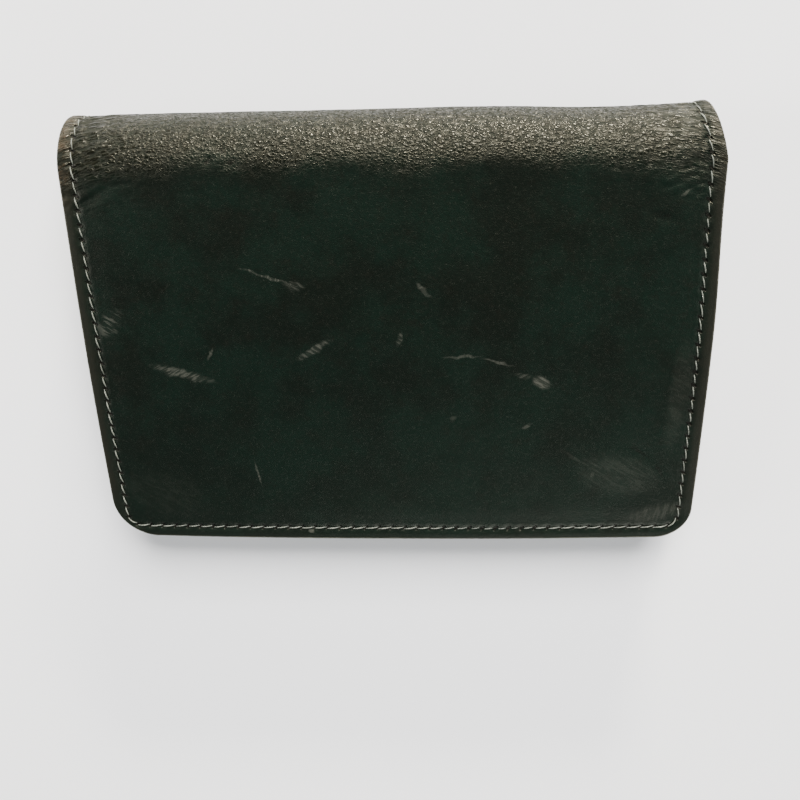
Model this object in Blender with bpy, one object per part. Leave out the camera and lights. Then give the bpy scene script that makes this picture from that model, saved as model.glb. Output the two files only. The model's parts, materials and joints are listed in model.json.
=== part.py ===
"""A leather business card case, closed and lying on its back cover.

X runs across the case, +Y points at the folded spine and +Z is up. The origin is the centre of
the base of the bounding box. The covers are worked out as one flat sheet that is wrapped round
the fold: a place on them is x, the distance s along their outer surface from the back cover's
open edge, and the depth below that surface.
"""

import math

import bmesh
import bpy
from mathutils import Vector

MM = 0.001

# Outside of the closed case
WIDTH = 110 * MM
HEIGHT = 79 * MM
FOLD_RADIUS = 8.25 * MM
FRONT_SLOPE = math.radians(5.75)
CORNER_RADIUS = 8.5 * MM

# Thickness of each layer, and the gap that keeps glued layers apart
LEATHER = 1.2 * MM
STIFFENER = 0.3 * MM
LINING = 0.4 * MM
SLIP_LEATHER = 0.6 * MM
POCKET_LEATHER = 0.9 * MM
LAYER_GAP = 0.1 * MM
SPLIT_GAP = 0.3 * MM

# How far each layer stops short of the covers' outline
LINING_INSET = 0.4 * MM
STIFFENER_INSET = 4 * MM

# Stitching
STITCH_MARGIN = 2.5 * MM
SEAM_CORNER = 3.5 * MM
THREAD_RADIUS = 0.2 * MM
THREAD_DEPTH = 0.25 * MM
GROOVE_RADIUS = 0.4 * MM
GROOVE_DEPTH = 0.2 * MM
GROOVE_OVERRUN = 1 * MM

# Card pocket on the back cover
POCKET_WIDTH = 107 * MM
POCKET_SLOPE = math.radians(4)
POCKET_FOOT_INSET = 3 * MM
POCKET_WALL = 0.8 * MM
POCKET_BEND = 1.5 * MM
POCKET_MOUTH_INSET = 15 * MM
POCKET_CORNER = 2.5 * MM
POCKET_SLIP_HEIGHT = 40 * MM
POCKET_STITCH_MARGIN = 2.2 * MM
MARGIN_STRIP = 3.6 * MM
FOOT_GAP = 0.2 * MM
FLAP_SLIP_HEIGHT = 53 * MM

# Gussets at the sides of the card pocket
GUSSET_LEATHER = 0.6 * MM
GUSSET_FLANGE = 3.6 * MM
GUSSET_DEPTH = 7.2 * MM
GUSSET_FOLD_GAP = 0.3 * MM
GUSSET_END_GAP = 1.5 * MM

EDGE_BEVEL = 0.25 * MM
CORNER_STEPS = 8
FOLD_STEPS = 16

FOLD_Y = HEIGHT / 2 - FOLD_RADIUS
OPEN_EDGE_Y = -HEIGHT / 2
BACK_LENGTH = HEIGHT - FOLD_RADIUS
FOLD_SWEEP = math.pi + FRONT_SLOPE
FOLD_LENGTH = FOLD_RADIUS * FOLD_SWEEP
FRONT_LENGTH = (HEIGHT - FOLD_RADIUS * (1 + math.sin(FRONT_SLOPE))) / math.cos(FRONT_SLOPE)
SHEET_LENGTH = BACK_LENGTH + FOLD_LENGTH + FRONT_LENGTH
FIRST_HINGE = BACK_LENGTH + FOLD_LENGTH / 4
SECOND_HINGE = BACK_LENGTH + FOLD_LENGTH * 3 / 4

STIFFENER_DEPTH = LEATHER + LAYER_GAP
LINING_DEPTH = STIFFENER_DEPTH + STIFFENER + LAYER_GAP
COVER_THICKNESS = LINING_DEPTH + LINING
STRIP_BASE = COVER_THICKNESS + LAYER_GAP
FOOT_Y = OPEN_EDGE_Y + POCKET_FOOT_INSET
FOOT_Z = STRIP_BASE + POCKET_LEATHER + FOOT_GAP
POCKET_TURN = math.pi / 2 - POCKET_SLOPE
POCKET_BEND_LENGTH = POCKET_BEND * POCKET_TURN
MOUTH_Y = HEIGHT / 2 - POCKET_MOUTH_INSET


def clear_scene():
    for old in list(bpy.data.objects):
        bpy.data.objects.remove(old, do_unlink=True)


def make_material(name, colour, roughness, metallic=0.0):
    material = bpy.data.materials.new(name)
    material.use_nodes = True
    shader = material.node_tree.nodes["Principled BSDF"]
    shader.inputs["Base Color"].default_value = (*colour, 1.0)
    shader.inputs["Roughness"].default_value = roughness
    shader.inputs["Metallic"].default_value = metallic
    return material


def finish_object(name, mesh, material):
    item = bpy.data.objects.new(name, mesh)
    bpy.context.scene.collection.objects.link(item)
    item.data.materials.append(material)
    item.data.shade_smooth()
    item.data.set_sharp_from_angle(angle=math.radians(35))
    return item


def move_origin(item, place):
    """Puts the object's origin on its joint's axis without moving its shape."""
    for vertex in item.data.vertices:
        vertex.co -= place
    item.location = place


# Places on the covers and on the pocket


def cover_point(x, s, depth):
    """x across, s along the outer surface from the back's open edge, depth below that surface."""
    if s <= BACK_LENGTH:
        return Vector((x, OPEN_EDGE_Y + s, depth))
    radius = FOLD_RADIUS - depth
    angle = min((s - BACK_LENGTH) / FOLD_RADIUS, FOLD_SWEEP) - math.pi / 2
    beyond = max(s - BACK_LENGTH - FOLD_LENGTH, 0)
    y = FOLD_Y + radius * math.cos(angle) - beyond * math.cos(FRONT_SLOPE)
    z = FOLD_RADIUS + radius * math.sin(angle) - beyond * math.sin(FRONT_SLOPE)
    return Vector((x, y, z))


def pocket_point(x, t, depth):
    """t along the pocket's outer surface from the foot of its wall, over the bend, to its mouth."""
    if t <= POCKET_WALL:
        return Vector((x, FOOT_Y + depth, FOOT_Z + t))
    radius = POCKET_BEND - depth
    angle = math.pi - min((t - POCKET_WALL) / POCKET_BEND, POCKET_TURN)
    beyond = max(t - POCKET_WALL - POCKET_BEND_LENGTH, 0)
    y = FOOT_Y + POCKET_BEND + radius * math.cos(angle) + beyond * math.cos(POCKET_SLOPE)
    z = FOOT_Z + POCKET_WALL + radius * math.sin(angle) + beyond * math.sin(POCKET_SLOPE)
    return Vector((x, y, z))


def pocket_underside(y):
    """Height of the pocket panel's underside at y."""
    bend_end = pocket_point(0, POCKET_WALL + POCKET_BEND_LENGTH, POCKET_LEATHER)
    return bend_end.z + (y - bend_end.y) * math.tan(POCKET_SLOPE)


PANEL_LENGTH = (MOUTH_Y - FOOT_Y - POCKET_BEND) / math.cos(POCKET_SLOPE)
POCKET_LENGTH = POCKET_WALL + POCKET_BEND_LENGTH + PANEL_LENGTH


# Sheet shapes


def rounded_half_width(distance, half_width, radius):
    """Half the width of a sheet at a distance from its rounded edge."""
    if distance >= radius:
        return half_width
    return half_width - radius + math.sqrt(max(radius**2 - (radius - distance) ** 2, 0))


def corner_rows(edge, inwards, radius):
    """Places of the rows that draw a rounded corner, from the edge to where the side is straight."""
    steps = [math.pi / 2 * i / CORNER_STEPS for i in range(CORNER_STEPS + 1)]
    return [edge + inwards * radius * (1 - math.cos(a)) for a in steps]


def fold_rows(start, end):
    """Places of the rows that draw the covers' fold between start and end."""
    rows = [BACK_LENGTH + FOLD_LENGTH * i / FOLD_STEPS for i in range(FOLD_STEPS + 1)]
    return [s for s in rows if start + SPLIT_GAP < s < end - SPLIT_GAP]


def loft(name, material, sections):
    """A solid skinned over sections, which are closed outlines with the same number of corners."""
    bm = bmesh.new()
    loops = [[bm.verts.new(corner) for corner in section] for section in sections]
    for first, second in zip(loops, loops[1:]):
        for i in range(len(first)):
            bm.faces.new((first[i], first[i - 1], second[i - 1], second[i]))
    bm.faces.new(loops[0])
    bm.faces.new(reversed(loops[-1]))
    bmesh.ops.recalc_face_normals(bm, faces=bm.faces)
    mesh = bpy.data.meshes.new(name)
    bm.to_mesh(mesh)
    bm.free()
    return finish_object(name, mesh, material)


def make_sheet(name, material, point, rows, half_widths, top, bottom):
    """A sheet between the depths top and bottom, lofted through rows across the case."""
    sections = []
    for place, half in zip(rows, half_widths):
        corners = [(-half, top), (half, top), (half, bottom), (-half, bottom)]
        sections.append([point(x, place, depth) for x, depth in corners])
    return loft(name, material, sections)


def cover_sheet(name, material, start, end, inset, top, bottom):
    """Part of the covers from start to end, with round corners at an end that is an open edge."""
    radius = CORNER_RADIUS - inset
    half = WIDTH / 2 - inset
    rows = [start, *fold_rows(start, end), end]
    if start == inset:
        rows = corner_rows(start, 1, radius) + rows[1:]
    if end == SHEET_LENGTH - inset:
        rows = rows[:-1] + corner_rows(end, -1, radius)[::-1]
    edge_distances = [min(s - inset, SHEET_LENGTH - inset - s) for s in rows]
    halves = [rounded_half_width(max(d, 0), half, radius) for d in edge_distances]
    return make_sheet(name, material, cover_point, rows, halves, top, bottom)


def soften_edges(item):
    bevel = item.modifiers.new("edge_rounding", "BEVEL")
    bevel.width = EDGE_BEVEL
    bevel.segments = 2
    bevel.limit_method = "ANGLE"
    bevel.angle_limit = math.radians(60)


def tube(name, material, routes, radius):
    """Round threads along routes, each with closed ends."""
    curve = bpy.data.curves.new(name, "CURVE")
    curve.dimensions = "3D"
    curve.bevel_depth = radius
    curve.bevel_resolution = 1
    curve.use_fill_caps = True
    for route in routes:
        spline = curve.splines.new("POLY")
        spline.points.add(len(route) - 1)
        for target, place in zip(spline.points, route):
            target.co = (*place, 1)
    drawn = bpy.data.objects.new(name + "_line", curve)
    mesh = bpy.data.meshes.new_from_object(drawn)
    bpy.data.objects.remove(drawn)
    bm = bmesh.new()
    bm.from_mesh(mesh)
    bmesh.ops.remove_doubles(bm, verts=bm.verts, dist=THREAD_RADIUS / 100)
    bmesh.ops.recalc_face_normals(bm, faces=bm.faces)
    bm.to_mesh(mesh)
    bm.free()
    return finish_object(name, mesh, material)


def cut_grooves(item, routes):
    """Cuts round stitching grooves along the routes."""
    cutter = tube(item.name + "_groove", item.data.materials[0], routes, GROOVE_RADIUS)
    cutter.hide_render = True
    cutter.display_type = "WIRE"
    groove = item.modifiers.new("stitching_groove", "BOOLEAN")
    groove.operation = "DIFFERENCE"
    groove.object = cutter


# Stitch lines


def cover_seam(side_end, edge, depth):
    """A seam down one side of a cover, round its open edge and up the other side.

    side_end is where the sides stop at the fold, and edge is the open edge's place along s.
    """
    towards_fold = 1 if side_end > edge else -1
    centre_s = edge + towards_fold * (STITCH_MARGIN + SEAM_CORNER)
    half = WIDTH / 2 - STITCH_MARGIN
    centre_x = half - SEAM_CORNER
    low, high = sorted((side_end, centre_s))
    side = sorted([side_end, *fold_rows(low, high)], reverse=towards_fold > 0)
    right = [(half, s) for s in side]
    for i in range(CORNER_STEPS + 1):
        angle = math.pi / 2 * i / CORNER_STEPS
        x = centre_x + SEAM_CORNER * math.cos(angle)
        right.append((x, centre_s - towards_fold * SEAM_CORNER * math.sin(angle)))
    left = [(-x, s) for x, s in reversed(right)]
    return [cover_point(x, s, depth) for x, s in right + left]


def spine_seam(x, start, end, depth):
    return [cover_point(x, s, depth) for s in (start, *fold_rows(start, end), end)]


# Covers


def build_back_cover(materials):
    end = FIRST_HINGE - SPLIT_GAP / 2
    leather = cover_sheet("back_cover_leather", materials["leather"], 0, end, 0, 0, LEATHER)
    soften_edges(leather)
    cut_grooves(leather, [cover_seam(end + GROOVE_OVERRUN, 0, GROOVE_DEPTH)])
    cover_sheet(
        "back_stiffener", materials["board"], STIFFENER_INSET, BACK_LENGTH - STIFFENER_INSET,
        STIFFENER_INSET, STIFFENER_DEPTH, STIFFENER_DEPTH + STIFFENER,
    )
    cover_sheet(
        "back_lining", materials["lining"], LINING_INSET, end, LINING_INSET, LINING_DEPTH, COVER_THICKNESS
    )
    seam = cover_seam(end - LAYER_GAP, 0, THREAD_DEPTH)
    tube("back_cover_thread", materials["thread"], [seam], THREAD_RADIUS)


def build_spine(materials, hinge):
    start = FIRST_HINGE + SPLIT_GAP / 2
    end = SECOND_HINGE - SPLIT_GAP / 2
    half = WIDTH / 2 - STITCH_MARGIN
    leather = cover_sheet("spine_leather", materials["leather"], start, end, 0, 0, LEATHER)
    cut_grooves(leather, [
        spine_seam(x, start - GROOVE_OVERRUN, end + GROOVE_OVERRUN, GROOVE_DEPTH) for x in (half, -half)
    ])
    lining = cover_sheet(
        "spine_lining", materials["lining"], start, end, LINING_INSET, LINING_DEPTH, COVER_THICKNESS
    )
    pieces = [leather, lining]
    for side, x in (("right", half), ("left", -half)):
        seam = spine_seam(x, start + LAYER_GAP, end - LAYER_GAP, THREAD_DEPTH)
        pieces.append(tube("spine_thread_" + side, materials["thread"], [seam], THREAD_RADIUS))
    for piece in pieces:
        move_origin(piece, hinge)


def build_front_cover(materials, hinge):
    start = SECOND_HINGE + SPLIT_GAP / 2
    leather = cover_sheet("front_cover_leather", materials["leather"], start, SHEET_LENGTH, 0, 0, LEATHER)
    soften_edges(leather)
    cut_grooves(leather, [cover_seam(start - GROOVE_OVERRUN, SHEET_LENGTH, GROOVE_DEPTH)])
    board_start = BACK_LENGTH + FOLD_LENGTH + STIFFENER_INSET
    stiffener = cover_sheet(
        "front_stiffener", materials["board"], board_start, SHEET_LENGTH - STIFFENER_INSET,
        STIFFENER_INSET, STIFFENER_DEPTH, STIFFENER_DEPTH + STIFFENER,
    )
    edge = SHEET_LENGTH - LINING_INSET
    lining = cover_sheet(
        "front_lining", materials["lining"], start, edge, LINING_INSET, LINING_DEPTH, COVER_THICKNESS
    )
    slip_top = COVER_THICKNESS + LAYER_GAP
    slip = cover_sheet(
        "flap_slip_panel", materials["inner_leather"], edge - FLAP_SLIP_HEIGHT, edge,
        LINING_INSET, slip_top, slip_top + SLIP_LEATHER,
    )
    seam = cover_seam(start + LAYER_GAP, SHEET_LENGTH, THREAD_DEPTH)
    thread = tube("front_cover_thread", materials["thread"], [seam], THREAD_RADIUS)
    for piece in (leather, stiffener, lining, slip, thread):
        move_origin(piece, hinge)


# Card pocket


def pocket_rows(start, end):
    bend = [POCKET_WALL + POCKET_BEND_LENGTH * i / CORNER_STEPS for i in range(CORNER_STEPS + 1)]
    return [start, *[t for t in bend if t > start], *corner_rows(end, -1, POCKET_CORNER)[::-1]]


def pocket_sheet(name, material, start, end, half, top, bottom):
    rows = pocket_rows(start, end)
    halves = [rounded_half_width(end - t, half, POCKET_CORNER) for t in rows]
    return make_sheet(name, material, pocket_point, rows, halves, top, bottom)


def build_pocket(materials, hinge):
    half = POCKET_WIDTH / 2
    panel = pocket_sheet(
        "pocket_panel", materials["inner_leather"], 0, POCKET_LENGTH, half, 0, POCKET_LEATHER
    )
    slip_start = POCKET_WALL + POCKET_BEND_LENGTH + LAYER_GAP
    slip_end = slip_start + POCKET_SLIP_HEIGHT
    slip_surface = -LAYER_GAP - SLIP_LEATHER
    slip = pocket_sheet(
        "pocket_slip_panel", materials["inner_leather"], slip_start, slip_end,
        half - LINING_INSET, slip_surface, -LAYER_GAP,
    )
    pieces = [panel, slip]
    on_panel = -THREAD_RADIUS - LAYER_GAP
    on_slip = slip_surface + on_panel
    seam_end = POCKET_LENGTH - POCKET_CORNER
    for side, x in (("right", half - POCKET_STITCH_MARGIN), ("left", POCKET_STITCH_MARGIN - half)):
        steps = [
            (slip_start + STITCH_MARGIN, on_slip),
            (slip_end, on_slip),
            (slip_end + SLIP_LEATHER * 2, on_panel),
            (seam_end, on_panel),
        ]
        seam = [pocket_point(x, t, depth) for t, depth in steps]
        pieces.append(tube("pocket_thread_" + side, materials["thread"], [seam], THREAD_RADIUS))
    for piece in pieces:
        move_origin(piece, hinge)


def build_pocket_margin(materials):
    """The pocket leather's bottom margin, stitched down along the back cover's open edge."""
    top = STRIP_BASE + POCKET_LEATHER
    half = WIDTH / 2 - CORNER_RADIUS
    rows = [LINING_INSET, LINING_INSET + MARGIN_STRIP]
    make_sheet(
        "pocket_bottom_margin", materials["inner_leather"], cover_point, rows, [half, half], top, STRIP_BASE
    )


def gusset_fold_z(y):
    return (COVER_THICKNESS + pocket_underside(y)) / 2


def lower_leaf_section(y):
    """Outline in x and z of the leaf on the back cover, flat at its flange and rising to the fold."""
    outer = WIDTH / 2 - LINING_INSET
    flange = outer - GUSSET_FLANGE
    tip = outer - GUSSET_DEPTH
    base = STRIP_BASE
    fold = gusset_fold_z(y) - GUSSET_FOLD_GAP / 2
    return [
        (outer, base), (outer, base + GUSSET_LEATHER), (flange, base + GUSSET_LEATHER),
        (tip, fold), (tip, fold - GUSSET_LEATHER), (flange, base),
    ]


def upper_leaf_section(y):
    """The same for the leaf under the pocket panel, which falls to the fold."""
    outer = POCKET_WIDTH / 2 - LINING_INSET
    flange = outer - GUSSET_FLANGE + LINING_INSET
    tip = WIDTH / 2 - LINING_INSET - GUSSET_DEPTH
    roof = pocket_underside(y) - LAYER_GAP
    fold = gusset_fold_z(y) + GUSSET_FOLD_GAP / 2
    return [
        (outer, roof), (flange, roof), (tip, fold + GUSSET_LEATHER),
        (tip, fold), (flange, roof - GUSSET_LEATHER), (outer, roof - GUSSET_LEATHER),
    ]


def gusset_leaf(name, material, section, mirror):
    """A leaf lofted from the pocket's foot to its mouth, in flat triangles because it twists a little."""
    ends = (FOOT_Y + GUSSET_END_GAP, MOUTH_Y - LAYER_GAP)
    leaf = loft(name, material, [[(mirror * x, y, z) for x, z in section(y)] for y in ends])
    leaf.modifiers.new("flat_faces", "TRIANGULATE")
    return leaf


def build_gussets(materials, hinge):
    for side, mirror in (("right", 1), ("left", -1)):
        leather = materials["inner_leather"]
        gusset_leaf(f"gusset_{side}_lower_leaf", leather, lower_leaf_section, mirror)
        upper = gusset_leaf(f"gusset_{side}_upper_leaf", leather, upper_leaf_section, mirror)
        move_origin(upper, hinge)


def main():
    clear_scene()
    materials = {
        "leather": make_material("dark_green_leather", (0.009, 0.014, 0.011), 0.5),
        "inner_leather": make_material("inner_leather", (0.012, 0.017, 0.013), 0.6),
        "lining": make_material("lining", (0.02, 0.022, 0.018), 0.8),
        "board": make_material("stiffener_board", (0.35, 0.28, 0.2), 0.9),
        "thread": make_material("thread", (0.3, 0.33, 0.27), 0.7),
    }
    spine_hinge = cover_point(0, FIRST_HINGE, 0)
    cover_hinge = cover_point(0, SECOND_HINGE, 0)
    pocket_hinge = pocket_point(0, 0, POCKET_LEATHER / 2) - Vector((0, 0, FOOT_GAP / 2))
    build_back_cover(materials)
    build_spine(materials, spine_hinge)
    build_front_cover(materials, cover_hinge)
    build_pocket(materials, pocket_hinge)
    build_pocket_margin(materials)
    build_gussets(materials, pocket_hinge)
    for name, place in (("spine", spine_hinge), ("cover", cover_hinge), ("pocket", pocket_hinge)):
        print(name, "hinge at", [round(value, 6) for value in place])


main()
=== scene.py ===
import json
import math

import bpy
import numpy as np
from mathutils import Matrix, Vector


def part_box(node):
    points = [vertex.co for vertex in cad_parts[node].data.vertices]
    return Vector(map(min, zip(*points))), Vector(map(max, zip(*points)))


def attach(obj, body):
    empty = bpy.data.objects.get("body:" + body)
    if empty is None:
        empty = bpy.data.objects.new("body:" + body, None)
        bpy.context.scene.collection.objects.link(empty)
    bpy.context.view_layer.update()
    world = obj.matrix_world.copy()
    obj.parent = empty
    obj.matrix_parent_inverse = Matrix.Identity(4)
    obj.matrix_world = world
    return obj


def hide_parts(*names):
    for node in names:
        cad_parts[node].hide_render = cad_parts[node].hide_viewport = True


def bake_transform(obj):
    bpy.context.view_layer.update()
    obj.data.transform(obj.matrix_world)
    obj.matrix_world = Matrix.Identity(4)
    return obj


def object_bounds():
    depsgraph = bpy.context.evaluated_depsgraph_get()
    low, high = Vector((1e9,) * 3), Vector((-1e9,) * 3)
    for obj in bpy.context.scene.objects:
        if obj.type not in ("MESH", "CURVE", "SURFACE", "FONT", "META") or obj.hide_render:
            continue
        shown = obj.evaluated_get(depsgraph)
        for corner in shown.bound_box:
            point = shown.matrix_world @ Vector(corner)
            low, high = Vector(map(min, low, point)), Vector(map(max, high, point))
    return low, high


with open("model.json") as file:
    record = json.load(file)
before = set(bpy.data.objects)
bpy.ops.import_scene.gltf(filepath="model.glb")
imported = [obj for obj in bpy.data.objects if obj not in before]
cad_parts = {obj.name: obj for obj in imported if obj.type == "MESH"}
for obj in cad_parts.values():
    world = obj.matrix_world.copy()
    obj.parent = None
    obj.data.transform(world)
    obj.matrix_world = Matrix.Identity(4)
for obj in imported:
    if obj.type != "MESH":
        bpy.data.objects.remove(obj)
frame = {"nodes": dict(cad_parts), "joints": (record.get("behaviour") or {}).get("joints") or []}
cadLow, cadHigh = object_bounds()

mm = 0.001  # shapes are worked out in millimetres and written in metres
joints = {joint["name"]: joint for joint in frame["joints"]}

# The closed case in millimetres, read from the frame. s runs along the outside of the covers, from the
# back cover's open edge, round the fold, to the front cover's open edge.
halfWidth = (cadHigh.x - cadLow.x) / 2 / mm
openEdge = cadLow.y / mm
foldSweep = math.radians(2 * joints["spine_hinge"]["range_deg"][1])
frontSlope = foldSweep - math.pi
foldRadius = joints["spine_hinge"]["pos_m"][2] / mm / (1 - math.cos(foldSweep / 4))
foldY = -openEdge - foldRadius
backLength = foldY - openEdge
foldLength = foldRadius * foldSweep
frontLength = (backLength - foldRadius * math.sin(frontSlope)) / math.cos(frontSlope)
backHalf = backLength + foldLength / 2
frontHalf = frontLength + foldLength / 2

cover = {
    "corner": (8.2, 6.5),  # radius of the outer corners, left and right
    "bow": 0.35,  # how far the front cover arches over its length
    "sideBow": 0.35,  # how far the sides bulge
    "pinch": (1.1, 0.7),  # how far the fold's ends are drawn in, and how much more on the right
    "drawnIn": 0.6,  # how far the right side is drawn in beside the fold
    "drawnOver": (40, 66),  # where that starts and ends, from the open edge
    "flare": (0.3, 0.12, 4),  # how far the fold stands out beside its seams, how much more on the right, width
    "endBow": (0.75, 12),  # how far the front's open edge curves back at its corners, and how soon that fades
    "press": (36, 15, 0.5),  # where the fold is pressed in, how wide and how deep
    "leather": 1.15,
    "liningTop": 1.2,
    "liningDip": 0.45,  # the lining drops under the stiffener board
    "liningBottom": 2.1,
    "liningInset": 0.25,
    "backLift": 0.27,  # the back's hide starts this far in, so that its swellings only just reach the floor
}
seam = {"half": halfWidth, "margin": 2.45, "corner": 2.6, "pitch": 2.47}


def smooth(value, low, high):  # 0 below low, 1 above high, an easy curve between
    t = np.clip((value - low) / (high - low), 0, 1)
    return t * t * (3 - 2 * t)


def latticeNoise(x, y, seed):  # random heights on a unit lattice, smoothly joined, between -1 and 1
    lattice = np.random.default_rng(seed).uniform(-1, 1, (97, 97))
    column, row = np.floor(x).astype(int), np.floor(y).astype(int)
    tx, ty = smooth(x - column, 0, 1), smooth(y - row, 0, 1)
    near = lattice[column % 97, row % 97] * (1 - tx) + lattice[(column + 1) % 97, row % 97] * tx
    far = lattice[column % 97, (row + 1) % 97] * (1 - tx) + lattice[(column + 1) % 97, (row + 1) % 97] * tx
    return near * (1 - ty) + far * ty


# x across, s along the outside, depth below it. The back is flat, the fold is part of a circle and the front
# slopes down; a bow, a flare, a pressed hollow and the drawn-in sides are small amounts added to that.
def coverPlace(x, s, depth):
    side = x / halfWidth
    before = np.maximum(backLength - s, 0)
    beyond = np.maximum(s - backLength - foldLength, 0)
    angle = np.clip((s - backLength) / foldRadius, 0, foldSweep) - np.pi / 2
    bow = cover["bow"] * np.sin(np.pi * np.minimum(beyond / frontLength, 1)) ** 2
    reach = np.minimum(s / backHalf, (backHalf + frontHalf - s) / frontHalf)
    flareHeight, flareMore, flareWidth = cover["flare"]
    flare = (flareHeight + flareMore * side) * np.exp(-(((halfWidth - np.abs(x)) / flareWidth) ** 2))
    pressX, pressWidth, pressDepth = cover["press"]
    flare = flare - pressDepth * np.exp(-(((x - pressX) / pressWidth) ** 2))
    fromOpen = np.minimum(s, backHalf + frontHalf - s)
    pinch = (cover["pinch"][0] + cover["pinch"][1] * side) * np.cos(angle)
    pinch = pinch + cover["drawnIn"] * smooth(fromOpen, *cover["drawnOver"]) * smooth(x, 0, halfWidth)
    bowHeight, bowReach = cover["endBow"]
    endBow = bowHeight * np.abs(side) ** 2.5 * np.exp((s - backHalf - frontHalf) / bowReach)
    x = x * (1 + (cover["sideBow"] * np.sin(np.pi * np.clip(reach, 0, 1)) - pinch) / halfWidth)
    y = foldY + (foldRadius + flare - depth) * np.cos(angle) - before - beyond * math.cos(frontSlope) + endBow
    z = foldRadius + (foldRadius - depth) * np.sin(angle) - beyond * math.sin(frontSlope) + bow
    return np.stack(np.broadcast_arrays(x, y, z), -1)


def frontPlace(x, e, depth):  # e is the distance from the front cover's open edge
    return coverPlace(x, backHalf + frontHalf - e, depth)


def backPlace(x, e, depth):  # and here from the back cover's
    return coverPlace(x, e, depth)


def makeMesh(name, points, quads, triangles=(), marks=None):
    # A closed mesh from points in millimetres. Where the sum of a . (b x c) over its triangles, six times its
    # volume, is negative, the faces are turned to point outwards. Marks are values kept on the points.
    triangles = np.reshape(np.array(triangles, int), (-1, 3))
    fan = np.concatenate([quads[:, :3], quads[:, [0, 2, 3]], triangles])
    a, b, c = points[fan[:, 0]], points[fan[:, 1]], points[fan[:, 2]]
    if np.einsum("ij,ij->", a, np.cross(b, c)) < 0:
        quads, triangles = quads[:, ::-1], triangles[:, ::-1]
    corners = np.concatenate([quads.ravel(), triangles.ravel()])
    sizes = np.repeat([4, 3], [len(quads), len(triangles)])
    mesh = bpy.data.meshes.new(name)
    mesh.vertices.add(len(points))
    mesh.vertices.foreach_set("co", (points * mm).astype(np.float32).ravel())
    mesh.loops.add(len(corners))
    mesh.loops.foreach_set("vertex_index", corners.astype(np.int32))
    mesh.polygons.add(len(sizes))
    mesh.polygons.foreach_set("loop_start", (np.cumsum(sizes) - sizes).astype(np.int32))
    mesh.update(calc_edges=True)
    mesh.validate()
    mesh.shade_smooth()
    mesh.set_sharp_from_angle(angle=math.radians(50))
    for key, value in (marks or {}).items():
        attribute = mesh.attributes.new(key, "FLOAT_VECTOR", "POINT")
        attribute.data.foreach_set("vector", value.astype(np.float32).ravel())
    made = bpy.data.objects.new(name, mesh)
    bpy.context.scene.collection.objects.link(made)
    return made


def cells(index):  # the quads of a grid of point numbers: each point with its next, both in the next row
    return np.stack([index[:-1, :-1], index[:-1, 1:], index[1:, 1:], index[1:, :-1]], -1).reshape(-1, 4)


def ruler(length, fine, fineWidth, coarse, farWidth=0.0, far=1.0):
    # places from a rim inwards: crowded at the rim, fine, coarse, then far apart by far up to the other end
    rim = [0, 0.04, 0.12, 0.25, 0.42]
    near = np.arange(0.62, fineWidth, fine)
    turn = length - farWidth
    middle = np.linspace(fineWidth, turn, max(2, round((turn - fineWidth) / coarse)))
    if not farWidth:
        return np.concatenate([rim, near, middle[:-1], [length]])
    end = np.linspace(turn, length - 0.1, max(2, round(farWidth / far)))[1:]
    return np.concatenate([rim, near, middle, end, [length]])


def makeSheet(name, place, sheet, relief=None, under=None, marks=None):
    # A sheet whose near end has round corners: place(x, e, depth) lays it in the case, e being the distance
    # from that end. Each row of the grid is as wide as the corners leave it, half - r + sqrt(r^2 - (r - e)^2).
    # Top and bottom meet along the rim, where the edge is rounded over as the curve 1 - (1 - t^3)^(1/3).
    half, (left, right) = sheet["half"], sheet["corner"]
    across = ruler(half, *sheet["acrossSteps"])
    u = np.concatenate([across - half, (half - across)[::-1][1:]]) / half
    e, u = np.meshgrid(ruler(sheet["length"], *sheet["alongSteps"]), u, indexing="ij")
    corner = np.where(u < 0, left, right)
    x = u * (half - corner + np.sqrt(np.maximum(corner**2 - np.maximum(corner - e, 0) ** 2, 0)))
    inCorner = (np.abs(x) > half - corner) & (e < corner)
    fromArc = corner - np.hypot(np.abs(x) - half + corner, corner - e)
    rim = np.maximum(np.where(inCorner, fromArc, np.minimum(half - np.abs(x), e)), 0)
    rim[0], rim[:, 0], rim[:, -1] = 0, 0, 0
    bend = 1 - (1 - np.clip(1 - rim / sheet["edgeRound"], 0, 1) ** 3) ** (1 / 3)
    halfThickness = (sheet["bottom"] - sheet["top"]) / 2
    topDepth = sheet["top"] + halfThickness * bend
    bottomDepth = sheet["bottom"] - halfThickness * bend
    inside = smooth(rim, 0, 0.5)
    if relief:
        topDepth = topDepth + relief(x, e) * inside
    if under:
        bottomDepth = bottomDepth + under(x, e) * inside
    top = np.arange(x.size).reshape(x.shape)
    inner = np.zeros(x.shape, bool)
    inner[1:, 1:-1] = True
    bottom = top.copy()
    bottom[inner] = x.size + np.arange(inner.sum())
    points = np.concatenate([place(x, e, topDepth).reshape(-1, 3), place(x, e, bottomDepth)[inner]])
    end = np.stack([top[-1, :-1], top[-1, 1:], bottom[-1, 1:], bottom[-1, :-1]], -1)
    quads = np.concatenate([cells(top), cells(bottom)[:, ::-1], end[1:-1]])
    triangles = [end[0, :3], end[-1, [0, 1, 3]]]
    kept = {}
    for key, value in (marks(x, e, rim) if marks else {}).items():
        kept[key] = np.concatenate([value.reshape(-1, 3), value[inner]])
    return makeMesh(name, points, quads, triangles, kept)


# A seam follows the rim: down the right side from the fold, across the open edge and up the left side. Its
# length is two sides, two quarter circles and the straight between them.
def seamLength(seam, length):
    side = length - seam["margin"] - seam["corner"]
    return 2 * (side + seam["corner"] * math.pi / 2 + seam["half"] - seam["margin"] - seam["corner"])


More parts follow.
